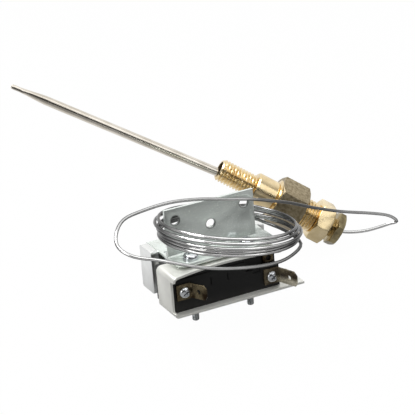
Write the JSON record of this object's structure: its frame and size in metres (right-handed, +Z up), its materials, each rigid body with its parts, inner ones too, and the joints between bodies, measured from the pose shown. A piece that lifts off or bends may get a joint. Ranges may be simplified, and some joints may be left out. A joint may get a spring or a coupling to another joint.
{
  "type": "capillary limit thermostat",
  "caption": "Capillary limit thermostat: snap switch block in a steel channel, coiled capillary tube, brass compression fitting and slim probe.",
  "frame": {"origin": "midway between the two outer mounting holes, on the rear face of the bracket's upright plate", "axes": "+X along the switch block towards the open end of its channel, +Y away from the terminals, +Z up"},
  "size_m": [0.1573, 0.1251, 0.0909],
  "materials": {
    "plated_steel": "zinc plated, satin",
    "black_phenolic": "moulded, satin",
    "tinned_brass": "plain, slightly dull",
    "screw_steel": "zinc plated",
    "contact_silver": "polished",
    "spring_bronze": "satin",
    "red_phenolic": "moulded",
    "zinc_steel": "zinc plated, mottled",
    "pale_steel": "zinc plated, satin",
    "spring_steel": "drawn wire",
    "white_ceramic": "unglazed",
    "stainless_steel": "bright rolled",
    "capillary_steel": "bright drawn",
    "probe_steel": "drawn, lightly heat tinted",
    "fitting_brass": "machined",
    "packing_graphite": "pressed graphite"
  },
  "bodies": {
    "body": {"chassis_channel": "plated_steel", "switch_case": "black_phenolic", "switch_cover": "black_phenolic", "terminal_left": "tinned_brass", "terminal_right": "tinned_brass", "terminal_upper": "tinned_brass", "terminal_screws": "screw_steel", "fixed_contacts": "contact_silver", "mounting_bracket": "zinc_steel", "clamp_screws": "screw_steel", "element_frame": "zinc_steel", "end_cover_left": "pale_steel", "end_cover_right": "pale_steel", "lever_pin": "screw_steel", "return_spring": "spring_steel", "diaphragm": "stainless_steel", "element_body": "stainless_steel", "element_nut": "fitting_brass", "capillary_tube": "capillary_steel", "fitting_body": "fitting_brass", "union_nut": "fitting_brass", "gland_screw": "fitting_brass", "packing_ring": "packing_graphite", "probe_bulb": "probe_steel"},
    "lever": {"lever": "plated_steel", "calibration_screw": "screw_steel"},
    "plunger": {"plunger": "red_phenolic"},
    "blade": {"snap_blade": "spring_bronze", "moving_contact": "contact_silver"},
    "button": {"thrust_button": "white_ceramic"}
  },
  "joints": [
    {"name": "lever_swing", "type": "hinge", "parent": "body", "child": "lever", "pos_m": [-0.017, 0.0068, -0.026], "axis": [0, 0, -1], "range_deg": [0, 1.6], "stiffness_Nm_per_rad": 0.5, "springref_deg": -2.86, "deforming": ["return_spring"]},
    {"name": "plunger_slide", "type": "slide", "parent": "body", "child": "plunger", "axis": [0, -1, 0], "range_m": [0, 0.0006]},
    {"name": "blade_swing", "type": "hinge", "parent": "body", "child": "blade", "pos_m": [-0.0176, -0.00155, -0.026], "axis": [0, 0, -1], "range_deg": [0, 1.6]},
    {"name": "button_slide", "type": "slide", "parent": "body", "child": "button", "axis": [0, -1, 0], "range_m": [0, 0.00045]}
  ],
  "couplings": [
    {"joint": "plunger_slide", "follows": "lever_swing", "m_per_rad": 0.021},
    {"joint": "blade_swing", "follows": "lever_swing", "ratio": 0.972},
    {"joint": "button_slide", "follows": "lever_swing", "m_per_rad": 0.015}
  ]
}
